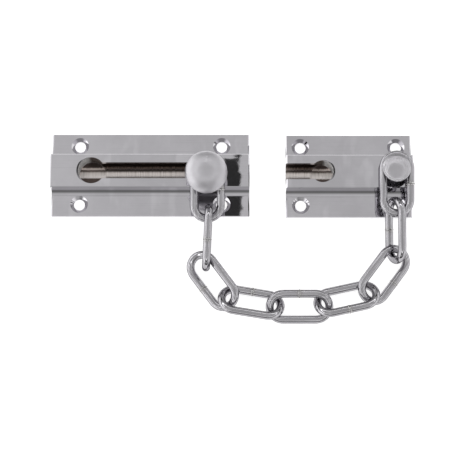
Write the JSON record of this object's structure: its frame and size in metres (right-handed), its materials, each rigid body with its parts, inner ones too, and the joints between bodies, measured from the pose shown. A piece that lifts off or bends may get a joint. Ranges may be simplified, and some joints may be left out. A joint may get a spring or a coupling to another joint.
{
  "type": "door chain guard",
  "caption": "Sliding door chain guard: a long plate with a keyhole slot, a domed knob that runs in it, a chain of welded links and a short keeper plate with a riveted post.",
  "frame": {"origin": "centre of the door plate's back face", "axes": "+X along the plates, from the door plate to the keeper plate; +Y across them, away from the chain; +Z away from the door"},
  "size_m": [0.1822, 0.0972, 0.031],
  "materials": {
    "plate_chrome": "polished chrome plate over an extruded section, drilled inside",
    "head_chrome": "turned and polished chrome plate",
    "stem_steel": "turned, plated steel",
    "link_chrome": "bright plated wire, welded on one leg"
  },
  "bodies": {
    "door_plate": {"door_plate": "plate_chrome"},
    "knob": {"knob_head": "head_chrome", "knob_stem": "stem_steel"},
    "link_1": {"chain_link_1": "link_chrome"},
    "link_2": {"chain_link_2": "link_chrome"},
    "link_3": {"chain_link_3": "link_chrome"},
    "link_4": {"chain_link_4": "link_chrome"},
    "link_5": {"chain_link_5": "link_chrome"},
    "link_6": {"chain_link_6": "link_chrome"},
    "link_7": {"chain_link_7": "link_chrome"},
    "link_8": {"chain_link_8": "link_chrome"},
    "link_9": {"chain_link_9": "link_chrome"},
    "keeper": {"keeper_plate": "plate_chrome", "post_stem": "stem_steel", "post_head": "head_chrome"}
  },
  "joints": [
    {"name": "knob_slide", "type": "slide", "parent": "door_plate", "child": "knob", "axis": [1, 0, 0], "range_m": [-0.0571, 0.002]},
    {"name": "link_1_swing", "type": "hinge", "parent": "knob", "child": "link_1", "pos_m": [0.0284, -0.002, 0.0159], "axis": [0, 0, 1], "range_deg": [-3, 32]},
    {"name": "link_2_swing", "type": "hinge", "parent": "link_1", "child": "link_2", "pos_m": [0.0302, -0.0201, 0.013], "axis": [0, 0, 1], "range_deg": [-55, 26]},
    {"name": "link_3_swing", "type": "hinge", "parent": "link_2", "child": "link_3", "pos_m": [0.0292, -0.0478, 0.009], "axis": [0, 0, -1], "range_deg": [-13, 28]},
    {"name": "link_4_swing", "type": "hinge", "parent": "link_3", "child": "link_4", "pos_m": [0.0392, -0.0643, 0.006], "axis": [0, 0, 1], "range_deg": [-29, 3]},
    {"name": "link_5_swing", "type": "hinge", "parent": "link_4", "child": "link_5", "pos_m": [0.0623, -0.0708, 0.0054], "axis": [0, 0, 1], "range_deg": [-10, 10]},
    {"name": "link_6_swing", "type": "hinge", "parent": "link_5", "child": "link_6", "pos_m": [0.0886, -0.07, 0.006], "axis": [0, 0, 1], "range_deg": [-11, 2]},
    {"name": "link_7_swing", "type": "hinge", "parent": "link_6", "child": "link_7", "pos_m": [0.1071, -0.0559, 0.005], "axis": [0, 0, 1], "range_deg": [-24, 3]},
    {"name": "link_8_swing", "type": "hinge", "parent": "link_7", "child": "link_8", "pos_m": [0.122, -0.0403, 0.005], "axis": [0, 0, -1], "range_deg": [-17, 28]},
    {"name": "link_9_swing", "type": "hinge", "parent": "link_8", "child": "link_9", "pos_m": [0.124, -0.0191, 0.0165], "axis": [0, 0, 1], "range_deg": [-24, 36]},
    {"name": "keeper_swing", "type": "hinge", "parent": "link_9", "child": "keeper", "pos_m": [0.1231, -0.0005, 0.016], "axis": [0, 0, 1], "range_deg": [-3, 31]}
  ],
  "couplings": [
    {"joint": "link_1_swing", "follows": "knob_slide", "rad_per_m": -9.16},
    {"joint": "link_4_swing", "follows": "knob_slide", "rad_per_m": 8.13},
    {"joint": "link_6_swing", "follows": "knob_slide", "rad_per_m": 2.95},
    {"joint": "link_7_swing", "follows": "knob_slide", "rad_per_m": 6.76},
    {"joint": "keeper_swing", "follows": "knob_slide", "rad_per_m": -8.68}
  ]
}
